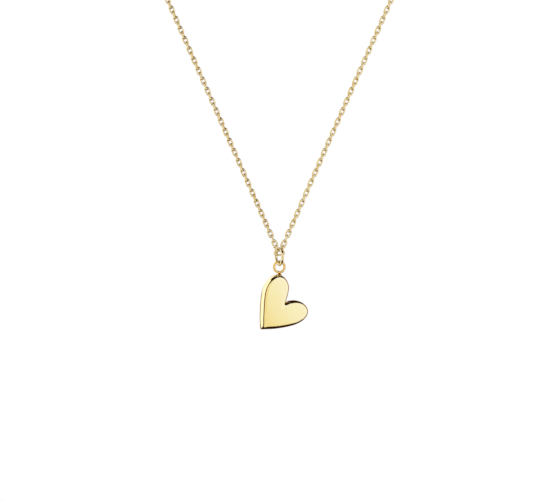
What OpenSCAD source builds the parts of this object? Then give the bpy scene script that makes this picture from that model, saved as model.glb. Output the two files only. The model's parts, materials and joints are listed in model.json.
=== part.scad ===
// Pendant necklace: a small flat heart on a fine cable chain, closed with a
// lobster clasp and an extender. Millimetres. The origin is the middle of the
// neck loop at its highest level; +X right, -Y to the front, +Z up.

/* [Chain] */
// Wire of the chain links
chain_wire = 0.34; // [0.25:0.01:0.6]
// Clear length inside a chain link, in wire thicknesses
chain_length_ratio = 3.415; // [3:0.005:5]
// Clear width inside a chain link, in wire thicknesses
chain_width_ratio = 1.41; // [1.3:0.01:2]
// Links from the front middle to the right end of the chain (odd)
links_right = 179; // [121:2:241]
// Slack between two neighbouring pieces where they hook together
slack = 0.05; // [0.03:0.005:0.08]
// Turn of the front links about their own length, front edges outward
link_turn = 20; // [0:1:22]

/* [Loop] */
// Angle of each front strand from upright
strand_angle = 23.75; // [15:0.25:32]
// Radius where the chain turns from the side down the front
side_radius = 30; // [20:1:40]
// Straight run of the back on each side of the middle
back_run = 10; // [8:1:14]

/* [Pendant] */
// Clear length inside the centre link under the jump ring, in wire thicknesses
centre_length_ratio = 4.7; // [4.2:0.05:6]
// Turn of the two links beside the centre link about their own length
centre_side_turn = 15; // [0:1:20]
// Wire of the jump ring
jump_wire = 0.55; // [0.4:0.01:0.6]
// Outer diameter of the jump ring
jump_outer = 3.75; // [3:0.05:4.5]
// Turn of the jump ring out of the side view
jump_turn = 24; // [10:1:30]
// Wire of the heart's loop
loop_wire = 0.48; // [0.35:0.01:0.7]
// Outer diameter of the heart's loop
loop_outer = 2.6; // [2.2:0.05:3.5]
// Turn of the heart's loop out of the front view
loop_turn = 12; // [0:1:30]
// Height of the solder between the heart's loop and the heart
solder_height = 0.26; // [0.05:0.01:0.4]
// Turn of the heart out of the front view
heart_turn = 24; // [0:1:35]
// Size of the heart against its outline table
heart_size = 1; // [0.8:0.05:1.4]
// Thickness of the heart
heart_thickness = 2.5; // [1.2:0.1:4]
// Radius where the heart's faces turn into its side
rim_radius = 0.6; // [0.3:0.05:0.8]
// Turn of that radius, before the side's own gentle curve
rim_turn = 60; // [45:5:80]

/* [Clasp] */
// Distance from the clasp's eye to the middle of its hook
clasp_span = 7.2; // [6.5:0.1:10]
// Radius of the hook's centre line
hook_radius = 1.8; // [1.6:0.05:2.4]
// Wire of the hook
hook_wire = 1.1; // [0.8:0.05:1.3]
// Thickness of the clasp's trunk
trunk_thickness = 1.9; // [1.6:0.1:2.6]
// Thickness of the lever
lever_thickness = 0.76; // [0.6:0.02:1]
// Gap each side of the lever in its slot
lever_gap = 0.06; // [0.04:0.01:0.12]
// Rivet diameter
rivet = 0.5; // [0.4:0.05:0.7]

/* [End rings and extender] */
// Wire of the two end rings
end_wire = 0.38; // [0.3:0.01:0.42]
// Centre line radius of the two end rings
end_radius = 1.1; // [0.95:0.05:1.6]
// Wire of the closing ring
closing_wire = 0.6; // [0.5:0.02:0.8]
// Centre line radius of the closing ring
closing_radius = 1.9; // [1.8:0.05:2.6]
// Wire of the extender links
tail_wire = 0.5; // [0.4:0.02:0.6]
// Clear length inside an extender link
tail_inner_length = 2.3; // [2:0.1:3]
// Clear width inside an extender link
tail_inner_width = 1.3; // [1.1:0.05:1.8]
// Ball at the end of the extender
ball = 2.8; // [2:0.1:4]

/* [Hidden] */
$fn = 32;
GOLD = [0.93, 0.80, 0.52];
PALE_GOLD = [0.97, 0.90, 0.66];
TAU = 2 * PI;

// Chain
chain_inner_length = chain_length_ratio * chain_wire;
chain_inner_width = chain_width_ratio * chain_wire;
centre_inner_length = centre_length_ratio * chain_wire;
link_half = (chain_inner_length - chain_inner_width) / 2;
link_bow = (chain_inner_width + chain_wire) / 2;
pitch = chain_inner_length - slack;
join = pitch - 2 * link_half;
band_links = 10;
bands = 8;
first_side_link = band_links * bands;
side_part = 33;

// Clasp line along the back, as distances from the hook's middle
hook_to_closing = hook_radius + closing_radius - (hook_wire + closing_wire) / 2 - slack;
closing_to_end = closing_radius + end_radius - (closing_wire + end_wire) / 2 - slack;
end_to_link = end_radius + (chain_inner_length + chain_wire) / 2
    - (end_wire + chain_wire) / 2 - slack;
eye_wire = 0.7;
eye_radius = 0.75;
eye_to_end = end_radius + eye_radius - (eye_wire + end_wire) / 2 - slack;
clasp_line = eye_to_end + end_to_link + clasp_span
    + hook_to_closing + closing_to_end + end_to_link;
last_right_x = (clasp_line - pitch) / 2;
hook_x = last_right_x - end_to_link - closing_to_end - hook_to_closing;
eye_x = hook_x - clasp_span;
closing_x = hook_x + hook_to_closing;
right_end_x = closing_x + closing_to_end;
left_end_x = eye_x - eye_to_end;
links_left = links_right - 1;

// Loop: the path length fixes the half width
half_path = links_right * pitch + last_right_x;
half_width = (half_path + (PI / 2 - 1) * (back_run - side_radius))
    / (1 / sin(strand_angle) + PI / 2);
back_radius = half_width - back_run;
front_length = half_width / sin(strand_angle) - side_radius;
turn_length = side_radius * PI / 2;
back_length = back_radius * PI / 2;
front_y = -side_radius;
vertex_z = -half_width / tan(strand_angle);
up = [sin(strand_angle), 0, cos(strand_angle)];
across = [cos(strand_angle), 0, -sin(strand_angle)];

function unit(v) = v / norm(v);
function turn_angle(t) = (t - front_length) / side_radius * 360 / TAU;
function back_angle(t) = (t - front_length - turn_length) / back_radius * 360 / TAU;
function along(t) = t <= front_length ? 0 : t <= front_length + turn_length ? 1
    : t <= front_length + turn_length + back_length ? 2 : 3;
function path_point(t) = let (k = along(t), a = turn_angle(t), b = back_angle(t))
    k == 0 ? [0, front_y, vertex_z] + t * up
    : k == 1 ? [half_width, 0, 0] - side_radius * up
        + side_radius * ([0, -cos(a), 0] + sin(a) * up)
    : k == 2 ? [back_run + back_radius * cos(b), back_radius * sin(b), 0]
    : [back_run - (t - front_length - turn_length - back_length), back_radius, 0];
function path_way(t) = let (k = along(t), a = turn_angle(t), b = back_angle(t))
    k == 0 ? up : k == 1 ? [0, sin(a), 0] + cos(a) * up
    : k == 2 ? [-sin(b), cos(b), 0] : [-1, 0, 0];
function path_side(t) = let (k = along(t), b = back_angle(t),
        lean = strand_angle * (1 - b / 90))
    k <= 1 ? across
    : k == 2 ? cos(lean) * [cos(b), sin(b), 0] - [0, 0, sin(lean)] : [0, 1, 0];
function flip(v, hand) = [hand * v[0], v[1], v[2]];

// The links' own turn: none at the middle of the front, full from the sixth link up
// the strand, then fading away round the side and the back
function share(from, to, t) = min(1, max(0, (t - from) / (to - from)));
function path_turn(t) = link_turn * share(2 * pitch, 6 * pitch, t)
    * (1 - share(front_length, front_length + turn_length + back_length, t));

// Middle of the front: the centre link and the two links beside it
centre_half = (centre_inner_length - chain_inner_width) / 2;
lowest_bow = (2 * pitch - link_half) * up;
side_reach = 2 * (join + link_half);
side_lean = asin((lowest_bow[0] - centre_half) / side_reach);
centre_z = vertex_z + lowest_bow[2] - side_reach * cos(side_lean);
side_link_way = [sin(side_lean), 0, cos(side_lean)];
side_link_at = [centre_half, front_y, centre_z] + side_reach / 2 * side_link_way;

// Pendant heights
jump_radius = (jump_outer - jump_wire) / 2;
jump_z = centre_z + link_bow + (chain_wire + jump_wire) / 2 + slack - jump_radius;
loop_radius = (loop_outer - loop_wire) / 2;
loop_z = jump_z - jump_radius + (jump_wire + loop_wire) / 2 + slack - loop_radius;
heart_top_z = loop_z - loop_outer / 2 - solder_height;
peg_radius = 0.3;
peg_depth = 0.9;
peg_gap = 0.02;
solder_radius = 0.45;
solder_base = 0.04;

// Heart outline, as [across, down] from the peg, clockwise seen from the front.
// The first run ends at the point, the second goes on to the notch.
LOBE_RUN = [[1.15, -5.54], [1.79, -5.26], [3.34, -5.12], [4.86, -5.55], [5.84, -6.45],
    [6.16, -7.42], [5.77, -8.46], [4.73, -9.38], [3.32, -10.01], [1.41, -10.46],
    [-1.04, -10.80], [-3.96, -10.90]];
TALL_RUN = [[-3.96, -10.90], [-4.10, -9.10], [-4.06, -7.10], [-3.94, -5.09],
    [-3.65, -3.31], [-3.04, -1.89], [-2.10, -0.73], [-0.72, 0.02], [0.55, -0.21],
    [1.49, -1.10], [1.93, -2.26], [1.86, -3.32], [1.56, -4.45], [1.15, -5.54]];
steps = 4;
rim_steps = 4;
side_steps = 3;

function knot(run, i) = i < 0 ? 2 * run[0] - run[1]
    : i >= len(run) ? 2 * run[len(run) - 1] - run[len(run) - 2] : run[i];
function curve(run, i, t) = let (a = knot(run, i - 1), b = knot(run, i),
        c = knot(run, i + 1), d = knot(run, i + 2))
    0.5 * (2 * b + (c - a) * t + (2 * a - 5 * b + 4 * c - d) * t * t
        + (3 * b - a - 3 * c + d) * t * t * t);
function smooth(run) = [for (i = [0:len(run) - 2], j = [0:steps - 1]) curve(run, i, j / steps)];
function outward(a, b) = let (v = unit(b - a)) [-v[1], v[0]];
function inset(points, depth) = let (count = len(points))
    [for (i = [0:count - 1]) let (p = points[i],
        m = outward(points[(i + count - 1) % count], p),
        n = outward(p, points[(i + 1) % count]))
        p - depth * (m + n) / (1 + m * n)];

// From the face to the middle of the side, as [inset, depth]
flank_radius = (heart_thickness / 2 - rim_radius * (1 - cos(rim_turn))) / cos(rim_turn);
flank_bulge = flank_radius * (1 - sin(rim_turn));
HALF_RIM = concat(
    [for (i = [0:rim_steps - 1]) let (a = rim_turn * i / rim_steps)
        [flank_bulge + rim_radius * (sin(rim_turn) - sin(a)),
            -heart_thickness / 2 + rim_radius * (1 - cos(a))]],
    [for (i = [0:side_steps]) let (a = rim_turn + (90 - rim_turn) * i / side_steps)
        [flank_radius * (1 - sin(a)), -flank_radius * cos(a)]]);
RIM = concat(HALF_RIM,
    [for (i = [len(HALF_RIM) - 2:-1:0]) [HALF_RIM[i][0], -HALF_RIM[i][1]]]);

// The outline keeps no points so near the heart's point that the inset would cross itself
heart_point = heart_size * LOBE_RUN[len(LOBE_RUN) - 1];
point_clear = 1.3 * HALF_RIM[0][0];
OUTLINE = [for (p = heart_size * concat(smooth(LOBE_RUN), smooth(TALL_RUN)))
    if (norm(p - heart_point) < 0.01 || norm(p - heart_point) > point_clear) p];

// Clasp, from the hook's middle
hook_end = 110;
jaw_back = -3.4;
trunk_front = -3.0;
trunk_back = clasp_span - 0.9;
trunk_big = 1.5;
trunk_small = 0.6;
trunk_y = -0.55;
pivot = [-3.9, 0.2];
hub_radius = 0.5;
arm_radius = 0.3;
slot_floor = pivot[1] - hub_radius - 0.2;
slot_back = pivot[0] - hub_radius - 0.5;
arm_tip = hook_radius * [cos(hook_end), sin(hook_end)]
    + (arm_radius + slack) * [-sin(hook_end), cos(hook_end)];
thumb = [-2.5, 1.62];
thumb_radius = 0.42;
spring_leaf = 0.12;
spring_width = 0.5;
rivet_gap = 0.01;
pivot_gap = 0.05;

// Extender
tail_half = (tail_inner_length - tail_inner_width) / 2;
tail_bow = (tail_inner_width + tail_wire) / 2;
tail_pitch = tail_inner_length - slack;
tail_first_z = -closing_radius + (closing_wire + tail_wire) / 2 + slack
    - tail_half - tail_bow;
tail_group = 3;
tail_groups = 6;
tail_last_z = tail_first_z - (tail_group * tail_groups - 1) * tail_pitch - tail_half - tail_bow;
ball_eye_wire = 0.4;
ball_eye_radius = 0.8;
ball_eye_z = tail_last_z + (tail_wire + ball_eye_wire) / 2 + slack - ball_eye_radius;
ball_z = ball_eye_z - ball_eye_radius - ball / 2 + 0.1;

// A ring round its own Z axis
module ring(radius, wire, from = 0, sweep = 360) {
    rotate([0, 0, from]) rotate_extrude(angle = sweep) translate([radius, 0]) circle(d = wire);
}

// A link lying in its own XY plane, long way along X
module link(half, bow, wire) {
    for (end = [-1, 1]) {
        translate([end * half, 0, 0]) ring(bow, wire, end * 90 + 180, 180);
        translate([-half, end * bow, 0]) rotate([0, 90, 0]) cylinder(d = wire, h = 2 * half);
    }
}

// Puts local X along way and local Y along side
module place(at, way, side) {
    z = cross(way, side);
    multmatrix([[way[0], side[0], z[0], at[0]], [way[1], side[1], z[1], at[1]],
        [way[2], side[2], z[2], at[2]], [0, 0, 0, 1]]) children();
}

// Chain links from one number to another; even links lie across, odd links edge on
module chain(hand, first, last) {
    color(GOLD) for (i = [first:last]) {
        t = i * pitch;
        over = cross(path_way(t), path_side(t));
        way = flip(path_way(t), hand);
        side = flip(cos(path_turn(t)) * path_side(t) + sin(path_turn(t)) * over, hand);
        place(flip(path_point(t), hand), way, i % 2 == 0 ? side : cross(way, side))
            link(link_half, link_bow, chain_wire);
    }
}

module front_band(hand, k) {
    top = first_side_link - (k - 1) * band_links;
    chain(hand, k == bands ? 2 : top - band_links, top - 1);
}

module centre_link() {
    color(GOLD) place([0, front_y, centre_z], [1, 0, 0], [0, 0, 1])
        link(centre_half, link_bow, chain_wire);
}

module centre_side_links() {
    color(GOLD) for (hand = [-1, 1])
        place(flip(side_link_at, hand), flip(side_link_way, hand),
            [0, 1, 0] * cos(centre_side_turn)
            + cross(flip(side_link_way, hand), [0, 1, 0]) * sin(centre_side_turn))
            link(link_half, link_bow, chain_wire);
}

module jump_ring() {
    color(PALE_GOLD) translate([0, front_y, jump_z]) rotate([0, 0, jump_turn - 90])
        rotate([90, 0, 0]) ring(jump_radius, jump_wire);
}

// Front view plane of the pendant, turned about the upright through the peg
module pendant(turned) {
    translate([0, front_y, 0]) rotate([0, 0, turned]) children();
}

module peg(gap) {
    translate([0, 0, heart_top_z - peg_depth - gap])
        cylinder(r = peg_radius + gap, h = peg_depth + gap + solder_height + 0.22);
}

module heart_body() {
    count = len(OUTLINE);
    layers = len(RIM);
    points = [for (layer = RIM, p = inset(OUTLINE, layer[0])) [p[0], layer[1], p[1]]];
    sides = [for (k = [0:layers - 2], i = [0:count - 1]) let (j = (i + 1) % count)
        each [[k * count + i, k * count + j, (k + 1) * count + j],
            [k * count + i, (k + 1) * count + j, (k + 1) * count + i]]];
    front = [[for (i = [0:count - 1]) count - 1 - i]];
    back = [[for (i = [0:count - 1]) (layers - 1) * count + i]];
    color(PALE_GOLD) pendant(heart_turn) difference() {
        translate([0, 0, heart_top_z]) polyhedron(points, concat(front, sides, back));
        peg(peg_gap);
    }
}

module loop_shape() {
    translate([0, 0, loop_z]) rotate([90, 0, 0]) ring(loop_radius, loop_wire);
    peg(0);
}

module heart_loop() {
    color(GOLD) pendant(loop_turn) loop_shape();
}

module heart_solder() {
    color(GOLD) pendant(loop_turn) difference() {
        intersection() {
            translate([0, 0, heart_top_z]) sphere(r = solder_radius);
            translate([0, 0, heart_top_z + solder_base + solder_radius])
                cube(2 * solder_radius, center = true);
        }
        loop_shape();
    }
}

module clasp_at() {
    translate([hook_x, back_radius, 0]) children();
}

module arm_slot() {
    depth = lever_thickness + 2 * lever_gap;
    translate([slot_back, slot_floor, -depth / 2]) cube([4, 4, depth]);
}

module clasp_body() {
    color(PALE_GOLD) clasp_at() difference() {
        union() {
            ring(hook_radius, hook_wire, -90, 90 + hook_end);
            translate([jaw_back, -hook_radius, 0]) rotate([0, 90, 0])
                cylinder(d = hook_wire, h = -jaw_back);
            intersection() {
                translate([-trunk_back, trunk_y, 0]) rotate([0, 90, 0])
                    cylinder(r1 = trunk_small, r2 = trunk_big, h = trunk_back + trunk_front);
                cube([20, 20, trunk_thickness], center = true);
            }
            translate([-clasp_span, 0, 0]) ring(eye_radius, eye_wire);
        }
        arm_slot();
        translate(pivot) cylinder(d = rivet + 2 * rivet_gap, h = 10, center = true);
    }
}

module clasp_lever() {
    reach = norm(arm_tip - pivot);
    rise = atan2(arm_tip[1] - pivot[1], arm_tip[0] - pivot[0]);
    color(GOLD) clasp_at() difference() {
        union() {
            translate([pivot[0], pivot[1], 0])
                cylinder(r = hub_radius, h = lever_thickness, center = true);
            translate([pivot[0], pivot[1], 0]) rotate([0, 0, rise])
                translate([reach / 2, 0, 0])
                cube([reach, 2 * arm_radius, lever_thickness], center = true);
            translate([arm_tip[0], arm_tip[1], 0])
                cylinder(r = arm_radius, h = lever_thickness, center = true);
            translate([thumb[0], thumb[1], 0])
                cylinder(r = thumb_radius, h = lever_thickness, center = true);
        }
        translate([pivot[0], pivot[1], 0])
            cylinder(d = rivet + 2 * pivot_gap, h = 10, center = true);
    }
}

module clasp_rivet() {
    color(GOLD) clasp_at() translate([pivot[0], pivot[1], 0])
        cylinder(d = rivet, h = trunk_thickness, center = true);
}

module clasp_spring() {
    low = [slot_back + 0.15, slot_floor + 0.01];
    bend = [trunk_front - 0.25, slot_floor + 0.01];
    high = [-2.62, 0.32];
    rise = [0, spring_leaf];
    color([0.75, 0.75, 0.75]) clasp_at()
        linear_extrude(height = spring_width, center = true)
        polygon([low, bend, high, high + rise, bend + rise, low + rise]);
}

module left_end_ring() {
    color(GOLD) translate([left_end_x, back_radius, 0]) rotate([90, 0, 0])
        ring(end_radius, end_wire);
}

module right_end_ring() {
    color(GOLD) translate([right_end_x, back_radius, 0]) ring(end_radius, end_wire);
}

module closing_ring() {
    color(GOLD) translate([closing_x, back_radius, 0]) rotate([90, 0, 0])
        ring(closing_radius, closing_wire);
}

module extender(group) {
    first = (group - 1) * tail_group;
    color(GOLD) for (i = [first:first + tail_group - 1])
        place([closing_x, back_radius, tail_first_z - i * tail_pitch], [0, 0, 1],
            i % 2 == 0 ? [0, 1, 0] : [1, 0, 0])
            link(tail_half, tail_bow, tail_wire);
}

module end_ball() {
    color(PALE_GOLD) translate([closing_x, back_radius, 0]) {
        translate([0, 0, ball_eye_z]) rotate([0, 90, 0]) ring(ball_eye_radius, ball_eye_wire);
        translate([0, 0, ball_z]) sphere(d = ball);
    }
}

centre_link();
centre_side_links();
front_band(-1, 1);  // front_left_1
front_band(1, 1);  // front_right_1
front_band(-1, 2);  // front_left_2
front_band(1, 2);  // front_right_2
front_band(-1, 3);  // front_left_3
front_band(1, 3);  // front_right_3
front_band(-1, 4);  // front_left_4
front_band(1, 4);  // front_right_4
front_band(-1, 5);  // front_left_5
front_band(1, 5);  // front_right_5
front_band(-1, 6);  // front_left_6
front_band(1, 6);  // front_right_6
front_band(-1, 7);  // front_left_7
front_band(1, 7);  // front_right_7
front_band(-1, 8);  // front_left_8
front_band(1, 8);  // front_right_8
chain(-1, first_side_link, first_side_link + side_part - 1);  // side_left
chain(1, first_side_link, first_side_link + side_part - 1);  // side_right
chain(-1, first_side_link + side_part, first_side_link + 2 * side_part - 1);  // turn_left
chain(1, first_side_link + side_part, first_side_link + 2 * side_part - 1);  // turn_right
chain(-1, first_side_link + 2 * side_part, links_left);  // back_left
chain(1, first_side_link + 2 * side_part, links_right);  // back_right
jump_ring();
heart_body();
heart_loop();
heart_solder();
clasp_body();
clasp_lever();
clasp_rivet();
clasp_spring();
left_end_ring();
right_end_ring();
closing_ring();
extender(1);  // extender_1
extender(2);  // extender_2
extender(3);  // extender_3
extender(4);  // extender_4
extender(5);  // extender_5
extender(6);  // extender_6
end_ball();
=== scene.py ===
"""Pendant necklace: a polished flat heart on a cable chain, with a lobster clasp and an extender."""

import json
import math

import bmesh
import bpy
import numpy as np
from mathutils import Matrix, Vector
from mathutils.geometry import delaunay_2d_cdt


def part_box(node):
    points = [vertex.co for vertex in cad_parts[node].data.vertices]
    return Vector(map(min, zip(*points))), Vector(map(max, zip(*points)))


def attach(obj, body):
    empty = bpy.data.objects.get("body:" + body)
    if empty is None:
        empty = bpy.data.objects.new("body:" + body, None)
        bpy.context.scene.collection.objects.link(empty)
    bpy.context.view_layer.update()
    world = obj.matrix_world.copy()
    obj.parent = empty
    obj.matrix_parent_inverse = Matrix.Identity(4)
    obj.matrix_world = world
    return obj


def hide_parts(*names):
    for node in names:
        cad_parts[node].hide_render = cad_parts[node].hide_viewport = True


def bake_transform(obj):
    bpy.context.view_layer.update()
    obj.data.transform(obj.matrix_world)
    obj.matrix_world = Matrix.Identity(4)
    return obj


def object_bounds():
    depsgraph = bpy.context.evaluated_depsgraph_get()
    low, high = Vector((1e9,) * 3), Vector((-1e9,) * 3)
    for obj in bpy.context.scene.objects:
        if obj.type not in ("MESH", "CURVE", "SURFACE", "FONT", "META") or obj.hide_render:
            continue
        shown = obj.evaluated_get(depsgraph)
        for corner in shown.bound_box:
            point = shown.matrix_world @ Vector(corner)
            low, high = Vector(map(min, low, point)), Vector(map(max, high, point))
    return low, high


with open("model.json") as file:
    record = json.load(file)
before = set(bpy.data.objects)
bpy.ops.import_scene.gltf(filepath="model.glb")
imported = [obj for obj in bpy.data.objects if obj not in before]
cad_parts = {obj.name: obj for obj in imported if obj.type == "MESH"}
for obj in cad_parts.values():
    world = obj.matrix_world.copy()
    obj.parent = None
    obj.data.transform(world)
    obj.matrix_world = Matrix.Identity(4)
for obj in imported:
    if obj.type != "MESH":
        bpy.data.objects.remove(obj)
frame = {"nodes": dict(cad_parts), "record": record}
CAD_LOW, CAD_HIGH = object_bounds()

MM = 0.001
BODIES = frame["record"]["behaviour"]["bodies"]

# Camera: a long lens, nearly level with the link that the heart hangs from
VIEW_WIDTH = 111.6 * MM
CAMERA_AWAY = 1.2
SENSOR = 36.0
CAMERA_SIDE = -0.06 * MM
CAMERA_ABOVE_CENTRE_LINK = 0.40 * MM

# Light tent
TENT_RADIUS = 1.0
TENT_COLUMNS, TENT_LINES = 48, 24
HEART_WALL_LEAN = math.radians(38)
FLOOR_HALF_WIDTH = 2.0
FLOOR_BELOW = 0.18

# Heart
HEART_TURN = math.radians(24)
LOOP_TURN = math.radians(12)
HEART_THICKNESS = 2.5 * MM
LOOP_WIRE = 0.48 * MM
LOOP_RADIUS = 1.06 * MM
EDGE_RADIUS = 0.6 * MM
EDGE_TURN = math.radians(60)
FACE_DOME = 70 * MM
FACE_GRID = 0.3 * MM
FACE_MIDDLE = Vector((0.9, -5.6)) * MM
POINT_CLEAR = 1.0 * MM
POINTS_PER_SPAN = 10
EDGE_STEPS = 8
SIDE_STEPS = 5
PEG_DEPTH = 0.9 * MM
LOOP_POINTS, LOOP_SIDES = 96, 22
# Outline in millimetres from the top of the peg: across, then up. The first run goes round the
# low lobe to the point, the second up the straight side and over the tall lobe to the notch.
LOBE_RUN = [(1.15, -5.54), (1.79, -5.26), (3.34, -5.12), (4.86, -5.55), (5.84, -6.45),
            (6.16, -7.42), (5.77, -8.46), (4.73, -9.38), (3.32, -10.01), (1.41, -10.46),
            (-1.04, -10.80), (-3.96, -10.90)]
TALL_RUN = [(-3.96, -10.90), (-4.10, -9.10), (-4.06, -7.10), (-3.94, -5.09),
            (-3.65, -3.31), (-3.04, -1.89), (-2.10, -0.73), (-0.72, 0.02), (0.55, -0.21),
            (1.49, -1.10), (1.93, -2.26), (1.86, -3.32), (1.56, -4.45), (1.15, -5.54)]


# Solder bead: how far out and how high, in millimetres from the top of the peg, foot first
SOLDER_RUN = [(0.50, -0.34), (0.47, -0.12), (0.42, 0.02), (0.36, 0.13), (0.32, 0.24),
              (0.27, 0.34), (0.16, 0.41)]
SOLDER_TIP = 0.43
SOLDER_SIDES = 28

# Links: points round a link and sides of its wire, fewer where the links are small and many
CHAIN_POINTS, CHAIN_SIDES = 14, 8
CENTRE_POINTS, CENTRE_SIDES = 26, 14
EXTENDER_POINTS, EXTENDER_SIDES = 26, 12

# Rings: the cut where each one was opened and closed
RING_CUT = 0.03
JUMP_CUT_AT = math.radians(100)
END_CUT_AT = math.radians(70)

# Clasp: the length of the spring strip's sloping end, and the edges' rounding in millimetres
SPRING_RISE = 0.63 * MM
BODY_EDGE, LEVER_EDGE, RIVET_EDGE = 0.07, 0.06, 0.03


# ---------------------------------------------------------------- materials


def linear(code):
    """An sRGB hex colour as linear RGBA."""
    parts = [int(code[i:i + 2], 16) / 255 for i in (1, 3, 5)]
    return [c / 12.92 if c <= 0.04045 else ((c + 0.055) / 1.055) ** 2.4 for c in parts] + [1.0]


def add(tree, kind, settings=None, **links):
    """Adds a node. Settings are its own properties or, under an input's name or number, values;
    links join an input to another node's output."""
    node = tree.nodes.new(kind)
    for key, value in (settings or {}).items():
        if isinstance(key, int) or key in node.inputs:
            node.inputs[key].default_value = value
        else:
            setattr(node, key, value)
    for key, source in links.items():
        target = node.inputs[int(key[1:]) if key[1:].isdigit() else key.replace("_", " ")]
        tree.links.new(source, target)
    return node


def polished_plate(name, colour, deep, roughness, scratch_mm, scratch_depth):
    """Gold-plated brass buffed on a soft wheel: a mirror with a very slight colour drift in the
    plate and hairlines from the last polish, which soften the reflections a little."""
    material = bpy.data.materials.new(name)
    material.use_nodes = True
    tree = material.node_tree
    tree.nodes.clear()
    where = add(tree, "ShaderNodeTexCoord").outputs["Object"]
    drift = add(tree, "ShaderNodeTexNoise", {"Scale": 1 / (2.4 * MM), "Detail": 2.0}, Vector=where)
    tint = add(tree, "ShaderNodeValToRGB", Fac=drift.outputs["Fac"])
    tint.color_ramp.elements[0].position = 0.30
    tint.color_ramp.elements[0].color = linear(deep)
    tint.color_ramp.elements[1].position = 0.62
    tint.color_ramp.elements[1].color = linear(colour)
    hairs = add(tree, "ShaderNodeMapping", {"Scale": (1.0, 1.0, 0.12), "Rotation": (0.3, 0.5, 0.2)},
                Vector=where)
    hair = add(tree, "ShaderNodeTexNoise",
               {"Scale": 1 / (scratch_mm * MM), "Detail": 3.0, "Roughness": 0.6},
               Vector=hairs.outputs["Vector"])
    rough = add(tree, "ShaderNodeMapRange",
                {"From Min": 0.3, "From Max": 0.7, "To Min": roughness * 0.7,
                 "To Max": roughness * 1.4}, Value=hair.outputs["Fac"])
    bump = add(tree, "ShaderNodeBump", {"Strength": 0.25, "Distance": scratch_depth * MM},
               Height=hair.outputs["Fac"])
    shader = add(tree, "ShaderNodeBsdfPrincipled", {"Metallic": 1.0},
                 Base_Color=tint.outputs["Color"], Roughness=rough.outputs["Result"],
                 Normal=bump.outputs["Normal"])
    add(tree, "ShaderNodeOutputMaterial", Surface=shader.outputs["BSDF"])
    return material


def spring_strip(name):
    """Rolled spring steel strip: grey, with fine lines along the rolling direction."""
    material = bpy.data.materials.new(name)
    material.use_nodes = True
    tree = material.node_tree
    tree.nodes.clear()
    where = add(tree, "ShaderNodeTexCoord").outputs["Object"]
    lines = add(tree, "ShaderNodeMapping", {"Scale": (0.08, 1.0, 1.0)}, Vector=where)
    grain = add(tree, "ShaderNodeTexNoise", {"Scale": 1 / (0.05 * MM), "Detail": 2.0},
                Vector=lines.outputs["Vector"])
    tint = add(tree, "ShaderNodeValToRGB", Fac=grain.outputs["Fac"])
    tint.color_ramp.elements[0].color = linear("#8b8a86")
    tint.color_ramp.elements[1].color = linear("#b9b7b1")
    shader = add(tree, "ShaderNodeBsdfPrincipled", {"Metallic": 1.0, "Roughness": 0.32},
                 Base_Color=tint.outputs["Color"])
    add(tree, "ShaderNodeOutputMaterial", Surface=shader.outputs["BSDF"])
    return material


# Heart: a hard mirror, so its flat face shows one even field of light
HEART_PLATE = polished_plate("pale gold plate, mirror buffed", "#fefae4", "#fdf8dc",
                             0.035, 0.10, 0.0004)
# Chain: drawn wire, a little softer than a mirror, so the links glitter less
CHAIN_PLATE = polished_plate("gold plate on drawn chain wire", "#fffaec", "#fdf2d8",
                             0.14, 0.08, 0.0006)
# Rings: the same wire but paler and smoother
RING_PLATE = polished_plate("pale gold plate on ring wire", "#fffaea", "#fef6dc", 0.10, 0.10, 0.0006)
# Loop: a deeper yellow than the ring wire
LOOP_PLATE = polished_plate("gold plate on soldered wire", "#fff0c8", "#fbe0a0", 0.10, 0.09, 0.0008)
# Solder: darker and orange, with the soft shine of metal that has flowed
SOLDER = polished_plate("hard gold solder, flowed", "#f3c874", "#d99a45", 0.20, 0.12, 0.002)
# Clasp: cast and tumbled, so smooth but not flat
CLASP_PLATE = polished_plate("gold plate on cast clasp", "#f9e7b6", "#f1d793", 0.11, 0.12, 0.0012)
# Spring: bare steel, the only grey piece
SPRING = spring_strip("rolled spring steel strip")


# ---------------------------------------------------------------- shapes out of the frame


def loose_parts(node):
    """The separate closed shapes of a CAD node, each as an array of its points."""
    mesh = frame["nodes"][node].data
    points = np.empty(len(mesh.vertices) * 3)
    mesh.vertices.foreach_get("co", points)
    edges = np.empty(len(mesh.edges) * 2, dtype=np.int64)
    mesh.edges.foreach_get("vertices", edges)
    merged, index = np.unique(np.round(points.reshape(-1, 3), 7), axis=0, return_inverse=True)
    index = index.reshape(-1)
    ends = index[edges.reshape(-1, 2)]
    label = np.arange(len(merged))
    while True:
        lower = np.minimum(label[ends[:, 0]], label[ends[:, 1]])
        new = label.copy()
        np.minimum.at(new, ends[:, 0], lower)
        np.minimum.at(new, ends[:, 1], lower)
        new = new[new]
        if (new == label).all():
            break
        label = new
    return [merged[label == value] for value in np.unique(label)]


def own_axes(points):
    """Middle, axes (longest first, right-handed) and extents of a symmetric shape."""
    values, axes = np.linalg.eigh(np.cov(points.T))
    axes = axes[:, ::-1]
    if np.linalg.det(axes) < 0:
        axes[:, 2] *= -1
    along = points @ axes
    low, high = along.min(0), along.max(0)
    return Vector(axes @ ((low + high) / 2)), Matrix(axes.tolist()), high - low


def finish_piece(piece, body, nodes, material=None, flex=None):
    """Puts a finished piece on its body, in place of its CAD nodes. A piece given flex is only fixed
    where it stands, not put on a body; the body and the two places that flex names are not used."""
    if material:
        piece.data.materials.clear()
        piece.data.materials.append(material)
    if flex:
        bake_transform(piece)
    else:
        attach(piece, body)
    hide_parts(*nodes)
    return piece


def new_piece(name, mesh):
    """An object for a mesh, in the scene."""
    piece = bpy.data.objects.new(name, mesh)
    bpy.context.scene.collection.objects.link(piece)
    return piece


def smooth(mesh, angle=None):
    """Smooth shading, kept sharp at edges steeper than the angle."""
    mesh.polygons.foreach_set("use_smooth", [True] * len(mesh.polygons))
    if angle is not None:
        mesh.set_sharp_from_angle(angle=angle)


# ---------------------------------------------------------------- links


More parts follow.
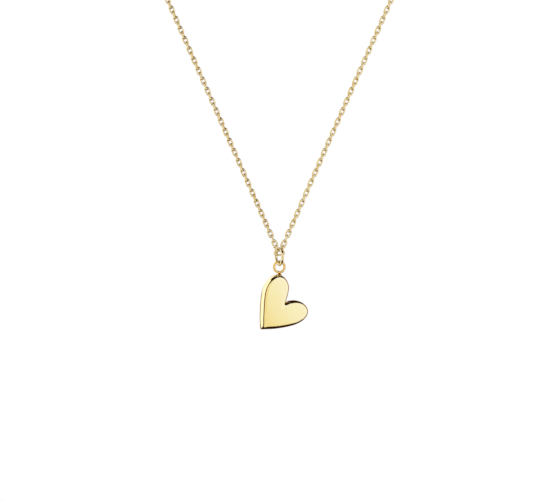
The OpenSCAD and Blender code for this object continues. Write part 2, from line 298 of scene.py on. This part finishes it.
def links_tree():
    """Oval links, one at each point, turned by the point's own attribute."""
    tree = bpy.data.node_groups.new("Cable chain links", "GeometryNodeTree")
    face = tree.interface
    face.new_socket("Geometry", in_out="INPUT", socket_type="NodeSocketGeometry")
    for name in ("Straight half", "End bow", "Wire"):
        face.new_socket(name, in_out="INPUT", socket_type="NodeSocketFloat")
    for name in ("Points round", "Sides of wire"):
        face.new_socket(name, in_out="INPUT", socket_type="NodeSocketInt")
    face.new_socket("Metal", in_out="INPUT", socket_type="NodeSocketMaterial")
    face.new_socket("Geometry", in_out="OUTPUT", socket_type="NodeSocketGeometry")
    given = add(tree, "NodeGroupInput").outputs
    oval = add(tree, "GeometryNodeCurvePrimitiveCircle", Resolution=given["Points round"],
               Radius=given["End bow"])
    spot = add(tree, "GeometryNodeInputPosition")
    split = add(tree, "ShaderNodeSeparateXYZ", Vector=spot.outputs["Position"])
    side = add(tree, "ShaderNodeMath", {"operation": "SIGN"}, _0=split.outputs["X"])
    stretch = add(tree, "ShaderNodeMath", {"operation": "MULTIPLY"}, _0=side.outputs[0],
                  _1=given["Straight half"])
    shift = add(tree, "ShaderNodeCombineXYZ", X=stretch.outputs[0])
    pulled = add(tree, "GeometryNodeSetPosition", Geometry=oval.outputs["Curve"],
                 Offset=shift.outputs["Vector"])
    half = add(tree, "ShaderNodeMath", {"operation": "MULTIPLY", 1: 0.5}, _0=given["Wire"])
    section = add(tree, "GeometryNodeCurvePrimitiveCircle", Resolution=given["Sides of wire"],
                  Radius=half.outputs[0])
    link = add(tree, "GeometryNodeCurveToMesh", Curve=pulled.outputs["Geometry"],
               Profile_Curve=section.outputs["Curve"])
    turn = add(tree, "GeometryNodeInputNamedAttribute", {"data_type": "FLOAT_VECTOR", "Name": "turn"})
    placed = add(tree, "GeometryNodeInstanceOnPoints", Points=given["Geometry"],
                 Instance=link.outputs["Mesh"], Rotation=turn.outputs["Attribute"])
    real = add(tree, "GeometryNodeRealizeInstances", Geometry=placed.outputs["Instances"])
    soft = add(tree, "GeometryNodeSetShadeSmooth", Geometry=real.outputs["Geometry"])
    metal = add(tree, "GeometryNodeSetMaterial", Geometry=soft.outputs["Geometry"],
                Material=given["Metal"])
    add(tree, "NodeGroupOutput", Geometry=metal.outputs["Geometry"])
    return tree


LINKS = links_tree()


def hooked_links(name, nodes, material, round_points=CHAIN_POINTS, wire_sides=CHAIN_SIDES):
    """One mesh of all the links that the CAD nodes hold, at the places and turns they have there."""
    places = [own_axes(part) for node in nodes for part in loose_parts(node)]
    extents = np.median([extent for _, _, extent in places], axis=0)
    wire = float(extents[2])
    bow = float(extents[1] - wire) / 2
    straight = float(extents[0] - extents[1]) / 2
    mesh = bpy.data.meshes.new(name + "_places")
    mesh.from_pydata([middle for middle, _, _ in places], [], [])
    turns = mesh.attributes.new("turn", "FLOAT_VECTOR", "POINT")
    for i, (_, axes, _) in enumerate(places):
        turns.data[i].vector = axes.to_euler()
    holder = new_piece(name + "_holder", mesh)
    modifier = holder.modifiers.new("Links", "NODES")
    modifier.node_group = LINKS
    sizes = {"Straight half": straight, "End bow": bow, "Wire": wire,
             "Points round": round_points, "Sides of wire": wire_sides, "Metal": material}
    for item in LINKS.interface.items_tree:
        if item.in_out == "INPUT" and item.name in sizes:
            modifier[item.identifier] = sizes[item.name]
    evaluated = holder.evaluated_get(bpy.context.evaluated_depsgraph_get())
    result = bpy.data.meshes.new_from_object(evaluated)
    result.name = name
    holder.modifiers.clear()
    bpy.data.objects.remove(holder)
    return new_piece(name, result)


def chain_pieces():
    """The chain, the centre links and the extender, one piece for each body or larger link."""
    for body, nodes in BODIES.items():
        links = [n for n in nodes if n.startswith(("front_", "side_", "turn_", "back_"))]
        if links:
            piece = hooked_links(body + "_links", links, CHAIN_PLATE)
            finish_piece(piece, body, links)
        if "centre_link" in nodes:
            for node in ("centre_link", "centre_side_links"):
                piece = hooked_links(node + "_oval", [node], CHAIN_PLATE, CENTRE_POINTS, CENTRE_SIDES)
                finish_piece(piece, body, [node])
        tail = [n for n in nodes if n.startswith("extender_")]
        if tail:
            piece = hooked_links(body + "_links", tail, CHAIN_PLATE, EXTENDER_POINTS, EXTENDER_SIDES)
            finish_piece(piece, body, tail)


# ---------------------------------------------------------------- rings


def ring_mesh(name, radius, wire, around=96, sides=20, seam=0.0, start=0.0):
    """A ring of round wire about Z. A seam leaves the fine cut of an opened and closed ring."""
    shape = bmesh.new()
    gap = seam / radius
    steps = around if not seam else around + 1
    rows = []
    for i in range(steps):
        turn = start + gap / 2 + (2 * math.pi - gap) * i / around
        out = Vector((math.cos(turn), math.sin(turn), 0))
        rows.append([shape.verts.new(out * (radius + wire / 2 * math.cos(2 * math.pi * j / sides))
                                     + Vector((0, 0, wire / 2 * math.sin(2 * math.pi * j / sides))))
                     for j in range(sides)])
    for i in range(around):
        one, two = rows[i], rows[(i + 1) % steps]
        for j in range(sides):
            k = (j + 1) % sides
            shape.faces.new((one[j], two[j], two[k], one[k]))
    if seam:
        shape.faces.new(rows[0])
        shape.faces.new(list(reversed(rows[-1])))
    bmesh.ops.recalc_face_normals(shape, faces=shape.faces)
    mesh = bpy.data.meshes.new(name)
    shape.to_mesh(mesh)
    shape.free()
    smooth(mesh, math.radians(50))
    return mesh


def ring_piece(node, body, material, seam_mm=RING_CUT, start=0.0):
    """A ring of round wire in place of a CAD ring, with its cut at a turn about its middle."""
    points = loose_parts(node)[0]
    middle, axes, extents = own_axes(points)
    wire = float(extents[2])
    radius = float(extents[0] - wire) / 2
    mesh = ring_mesh(node + "_wire", radius, wire, seam=seam_mm * MM, start=start)
    mesh.transform(Matrix.Translation(middle) @ axes.to_4x4())
    return finish_piece(new_piece(node + "_wire", mesh), body, [node], material)


# ---------------------------------------------------------------- heart


def spline(run):
    """Catmull-Rom points along a run, in metres, without its last one."""
    knots = [Vector(p) * MM for p in run]
    knots = [2 * knots[0] - knots[1]] + knots + [2 * knots[-1] - knots[-2]]
    points = []
    for a, b, c, d in zip(knots, knots[1:], knots[2:], knots[3:]):
        for j in range(POINTS_PER_SPAN):
            t = j / POINTS_PER_SPAN
            points.append(0.5 * (2 * b + (c - a) * t + (2 * a - 5 * b + 4 * c - d) * t * t
                                 + (3 * b - a - 3 * c + d) * t ** 3))
    return points


def inset(points, depth):
    """The outline moved into the metal by a depth."""
    moved = []
    count = len(points)
    for i, p in enumerate(points):
        before = (p - points[i - 1]).normalized()
        after = (points[(i + 1) % count] - p).normalized()
        m, n = Vector((-before.y, before.x)), Vector((-after.y, after.x))
        moved.append(p - depth * (m + n) / max(1 + m.dot(n), 0.25))
    return moved


def edge_profile():
    """Steps from the face to the middle of the side: how far in from the outline and how deep.
    A small radius turns off the face and a big one carries the side round."""
    half = HEART_THICKNESS / 2
    corner_depth = EDGE_RADIUS * (1 - math.cos(EDGE_TURN))
    side_radius = (half - corner_depth) / math.cos(EDGE_TURN)
    bulge = side_radius * (1 - math.sin(EDGE_TURN))
    steps = []
    for k in range(EDGE_STEPS):
        turn = EDGE_TURN * k / EDGE_STEPS
        steps.append((bulge + EDGE_RADIUS * (math.sin(EDGE_TURN) - math.sin(turn)),
                      -half + EDGE_RADIUS * (1 - math.cos(turn))))
    for k in range(SIDE_STEPS + 1):
        turn = EDGE_TURN + (math.pi / 2 - EDGE_TURN) * k / SIDE_STEPS
        steps.append((side_radius * (1 - math.sin(turn)), -side_radius * math.cos(turn)))
    return steps


def heart_mesh(turn):
    """The heart as a closed solid: a faintly domed front, a flat back and a rounded side."""
    point = Vector(LOBE_RUN[-1]) * MM
    outline = [p for p in spline(LOBE_RUN) + spline(TALL_RUN)
               if (p - point).length < 0.01 * MM or (p - point).length > POINT_CLEAR]
    half = HEART_THICKNESS / 2

    def domed(p, depth):
        fall = (p - FACE_MIDDLE).length_squared / (2 * FACE_DOME)
        return depth + fall * max(0.0, -depth / half)

    profile = edge_profile()
    rings = [(inset(outline, move), depth) for move, depth in profile]
    rings += [(points, -depth) for points, depth in reversed(rings[:-1])]
    shape = bmesh.new()
    rows = [[shape.verts.new((p.x, domed(p, depth), p.y)) for p in points]
            for points, depth in rings]
    count = len(outline)
    for one, two in zip(rows, rows[1:]):
        for i in range(count):
            j = (i + 1) % count
            shape.faces.new((one[i], one[j], two[j], two[i]))

    # Both flats share one net of points inside the outline
    flat = rings[0][0]
    inner = inset(flat, FACE_GRID * 0.6)
    low = Vector((min(p.x for p in flat), min(p.y for p in flat)))
    high = Vector((max(p.x for p in flat), max(p.y for p in flat)))
    columns = int((high.x - low.x) / FACE_GRID) + 1
    lines = int((high.y - low.y) / (FACE_GRID * math.sqrt(3) / 2)) + 1
    net = []
    for a in range(lines):
        for b in range(columns):
            p = Vector((low.x + (b + 0.5 * (a % 2)) * FACE_GRID,
                        low.y + a * FACE_GRID * math.sqrt(3) / 2))
            crossings = 0
            for c, d in zip(inner, inner[1:] + inner[:1]):
                if (c.y > p.y) != (d.y > p.y):
                    if p.x < c.x + (d.x - c.x) * (p.y - c.y) / (d.y - c.y):
                        crossings += 1
            if crossings % 2:
                net.append(p)
    points, _, faces, origin, _, _ = delaunay_2d_cdt(
        flat + net, [], [list(range(count))], 1, 1e-9)
    for rim, depth in ((rows[0], -half), (rows[-1], half)):
        corners = []
        for p, came_from in zip(points, origin):
            old = [k for k in came_from if k < count]
            corners.append(rim[old[0]] if old else shape.verts.new((p.x, domed(p, depth), p.y)))
        for face in faces:
            shape.faces.new([corners[k] for k in face])
    bmesh.ops.recalc_face_normals(shape, faces=shape.faces)
    mesh = bpy.data.meshes.new("heart_plate")
    shape.to_mesh(mesh)
    shape.free()
    smooth(mesh)
    mesh.transform(turn)
    return mesh


def solder_mesh(place):
    """The solder runs up round the foot of the loop and out over the rim of the heart."""
    sides = SOLDER_SIDES
    shape = bmesh.new()
    rows = [[shape.verts.new((out * MM * math.cos(2 * math.pi * i / sides),
                              out * MM * math.sin(2 * math.pi * i / sides), up * MM))
             for i in range(sides)] for out, up in SOLDER_RUN]
    tip = shape.verts.new((0, 0, SOLDER_TIP * MM))
    foot = shape.verts.new((0, 0, SOLDER_RUN[0][1] * MM))
    for i in range(sides):
        j = (i + 1) % sides
        for one, two in zip(rows, rows[1:]):
            shape.faces.new((one[i], one[j], two[j], two[i]))
        shape.faces.new((rows[-1][i], rows[-1][j], tip))
        shape.faces.new((rows[0][j], rows[0][i], foot))
    bmesh.ops.recalc_face_normals(shape, faces=shape.faces)
    mesh = bpy.data.meshes.new("solder_bead")
    shape.to_mesh(mesh)
    shape.free()
    smooth(mesh)
    mesh.transform(place)
    return mesh


def heart_pieces():
    """The heart plate, its wire loop and the solder, placed from the loop in the frame."""
    loop_low, loop_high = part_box("heart_loop")
    hang_x, hang_y = (loop_low[0] + loop_high[0]) / 2, (loop_low[1] + loop_high[1]) / 2
    top = loop_low[2] + PEG_DEPTH
    at_top = Matrix.Translation(Vector((hang_x, hang_y, top)))
    heart = new_piece("heart_plate", heart_mesh(at_top @ Matrix.Rotation(HEART_TURN, 4, "Z")))
    finish_piece(heart, "heart", ["heart_body"], HEART_PLATE)

    mesh = ring_mesh("heart_loop_wire", LOOP_RADIUS, LOOP_WIRE, around=LOOP_POINTS, sides=LOOP_SIDES)
    at_loop = Vector((hang_x, hang_y, loop_high[2] - LOOP_RADIUS - LOOP_WIRE / 2))
    mesh.transform(Matrix.Translation(at_loop) @ Matrix.Rotation(LOOP_TURN, 4, "Z")
                   @ Matrix.Rotation(math.pi / 2, 4, "X"))
    finish_piece(new_piece("heart_loop_wire", mesh), "heart", ["heart_loop"], LOOP_PLATE)

    bead = new_piece("solder_bead", solder_mesh(at_top @ Matrix.Rotation(LOOP_TURN, 4, "Z")))
    finish_piece(bead, "heart", ["heart_solder"], SOLDER)


# ---------------------------------------------------------------- clasp


def softened(node, body, material, edge_mm, angle=35, flex=None):
    """A CAD node's own shape with its facets smoothed and its sharp edges rounded as by tumbling."""
    shape = bmesh.new()
    shape.from_mesh(frame["nodes"][node].data)
    bmesh.ops.remove_doubles(shape, verts=shape.verts, dist=1e-6)
    bmesh.ops.dissolve_limit(shape, angle_limit=math.radians(0.5), verts=shape.verts, edges=shape.edges)
    mesh = bpy.data.meshes.new(node + "_cast")
    shape.to_mesh(mesh)
    shape.free()
    piece = new_piece(node + "_cast", mesh)
    if edge_mm:
        bevel = piece.modifiers.new("Tumbled edges", "BEVEL")
        bevel.width = edge_mm * MM
        bevel.segments = 3
        bevel.limit_method = "ANGLE"
        bevel.angle_limit = math.radians(angle)
        bevel.harden_normals = False
        evaluated = piece.evaluated_get(bpy.context.evaluated_depsgraph_get())
        rounded = bpy.data.meshes.new_from_object(evaluated)
        piece.modifiers.clear()
        piece.data = rounded
    smooth(piece.data, math.radians(angle))
    return finish_piece(piece, body, [node], material, flex)


# ---------------------------------------------------------------- studio


def tent_wall(name, azimuths, elevations, level, stops, lean, target):
    """A curved wall of even light, part of a light tent. Azimuth 0 is towards the camera and
    grows to the right. The colour runs through the stops, in degrees along a line which
    leans from level to upright. It lights and shows in the metal, and the camera does not
    see it."""
    columns, lines = TENT_COLUMNS, TENT_LINES
    spots, faces, uvs = [], [], []
    for b in range(lines + 1):
        for a in range(columns + 1):
            azimuth = azimuths[0] + (azimuths[1] - azimuths[0]) * a / columns
            elevation = elevations[0] + (elevations[1] - elevations[0]) * b / lines
            t, e = math.radians(azimuth), math.radians(elevation)
            spots.append(TENT_RADIUS * Vector((math.sin(t) * math.cos(e),
                                               -math.cos(t) * math.cos(e), math.sin(e))))
            run = azimuth * math.cos(lean) + elevation * math.sin(lean)
            uvs.append(((run - stops[0][0]) / (stops[-1][0] - stops[0][0]), 0.5))
    for b in range(lines):
        for a in range(columns):
            c = b * (columns + 1) + a
            faces.append((c, c + 1, c + columns + 2, c + columns + 1))
    mesh = bpy.data.meshes.new(name)
    mesh.from_pydata(spots, [], faces)
    layer = mesh.uv_layers.new(name="run")
    for loop in mesh.loops:
        layer.data[loop.index].uv = uvs[loop.vertex_index]
    material = bpy.data.materials.new(name)
    material.use_nodes = True
    tree = material.node_tree
    tree.nodes.clear()
    where = add(tree, "ShaderNodeUVMap", {"uv_map": "run"}).outputs["UV"]
    split = add(tree, "ShaderNodeSeparateXYZ", Vector=where)
    ramp = add(tree, "ShaderNodeValToRGB", Fac=split.outputs["X"])
    span = stops[-1][0] - stops[0][0]
    for k, (place, colour) in enumerate(stops):
        stop = (place - stops[0][0]) / span
        if k < 2:
            element = ramp.color_ramp.elements[k]
            element.position = stop
        else:
            element = ramp.color_ramp.elements.new(stop)
        element.color = linear(colour)
    light = add(tree, "ShaderNodeEmission", {"Strength": level}, Color=ramp.outputs["Color"])
    add(tree, "ShaderNodeOutputMaterial", Surface=light.outputs["Emission"])
    mesh.materials.append(material)
    wall = new_piece(name, mesh)
    wall.location = target
    wall.visible_camera = False
    wall.visible_shadow = False
    return wall


def studio():
    """Camera, floor and a light tent of curved walls. The walls are pale in front and brown behind,
    so polished edges end in a warm dark line."""
    scene = bpy.context.scene
    scene.view_settings.view_transform = "Standard"
    heart_low, heart_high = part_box("heart_body")
    target = Vector(((heart_low[0] + heart_high[0]) / 2, (heart_low[1] + heart_high[1]) / 2,
                     heart_high[2]))

    data = bpy.data.cameras.new("camera")
    camera = bpy.data.objects.new("camera", data)
    scene.collection.objects.link(camera)
    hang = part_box("heart_loop")
    centre_low, centre_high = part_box("centre_link")
    data.sensor_width = SENSOR
    data.lens = SENSOR * CAMERA_AWAY / VIEW_WIDTH
    camera.location = (CAMERA_SIDE, (hang[0][1] + hang[1][1]) / 2 - CAMERA_AWAY,
                       (centre_low[2] + centre_high[2]) / 2 + CAMERA_ABOVE_CENTRE_LINK)
    camera.rotation_euler = (math.pi / 2, 0, 0)
    data.clip_start, data.clip_end = 0.01, 50
    scene.camera = camera

    world = bpy.data.worlds.new("studio")
    scene.world = world
    world.use_nodes = True
    tree = world.node_tree
    tree.nodes.clear()
    path = add(tree, "ShaderNodeLightPath")
    seen = add(tree, "ShaderNodeBackground", {"Color": (1, 1, 1, 1), "Strength": 1.0})
    felt = add(tree, "ShaderNodeBackground", {"Color": linear("#4a220a"), "Strength": 0.3})
    mix = add(tree, "ShaderNodeMixShader", Fac=path.outputs["Is Glossy Ray"],
              _1=seen.outputs[0], _2=felt.outputs[0])
    add(tree, "ShaderNodeOutputWorld", Surface=mix.outputs[0])

    tent_wall("tent right front", (-22, 90), (-44, 40), 1.0,
              [(27, "#f5e2a6"), (33, "#f8ecc0"), (38, "#faf3d6"), (46, "#fbf8e6"), (80, "#fffbe0")],
              HEART_WALL_LEAN, target)
    tent_wall("tent right back", (90, 180), (-34, 34), 1.0,
              [(90, "#fffbe0"), (98, "#fff0c0"), (108, "#9c6228"), (180, "#6a3c14")], 0.0, target)
    tent_wall("tent left", (-180, -64), (-44, 8), 1.1,
              [(-180, "#6a4420"), (-137, "#9c6a30"), (-134, "#fff2c8"), (-64, "#fffbe0")],
              0.0, target)
    tent_wall("tent left above", (-172, -64), (8, 60), 1.1,
              [(-172, "#9a560e"), (-166, "#fff2c8"), (-64, "#fffbe0")], 0.0, target)
    tent_wall("tent left front", (-64, -22), (-40, 40), 0.42,
              [(-64, "#b06818"), (-22, "#d09848")], 0.0, target)

    floor_mesh = bpy.data.meshes.new("floor")
    side, below = FLOOR_HALF_WIDTH, CAD_LOW[2] - FLOOR_BELOW
    floor_mesh.from_pydata([(-side, -side, below), (side, -side, below), (side, side, below),
                            (-side, side, below)], [], [(0, 1, 2, 3)])
    floor = new_piece("floor", floor_mesh)
    material = bpy.data.materials.new("matt white paint")
    material.use_nodes = True
    shader = material.node_tree.nodes["Principled BSDF"]
    shader.inputs["Base Color"].default_value = linear("#f4f2ee")
    shader.inputs["Roughness"].default_value = 0.8
    floor_mesh.materials.append(material)
    floor.visible_glossy = False


# ---------------------------------------------------------------- assembly

studio()
chain_pieces()
ring_piece("jump_ring", "jump", RING_PLATE, start=JUMP_CUT_AT)
ring_piece("left_end_ring", "neck_half", RING_PLATE, start=END_CUT_AT)
ring_piece("right_end_ring", "neck_half", RING_PLATE, start=END_CUT_AT)
ring_piece("closing_ring", "neck_half", RING_PLATE, seam_mm=0.0)
heart_pieces()
softened("clasp_body", "neck_half", CLASP_PLATE, BODY_EDGE)
softened("clasp_lever", "lever", CLASP_PLATE, LEVER_EDGE)
softened("clasp_rivet", "neck_half", CLASP_PLATE, RIVET_EDGE)
spring_low, spring_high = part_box("clasp_spring")
softened("clasp_spring", "neck_half", SPRING, 0.0,
         flex=("lever", (spring_high[0] - SPRING_RISE, spring_low[1], 0),
               (spring_high[0], spring_high[1], 0)))
softened("end_ball", "ball", RING_PLATE, 0.0)
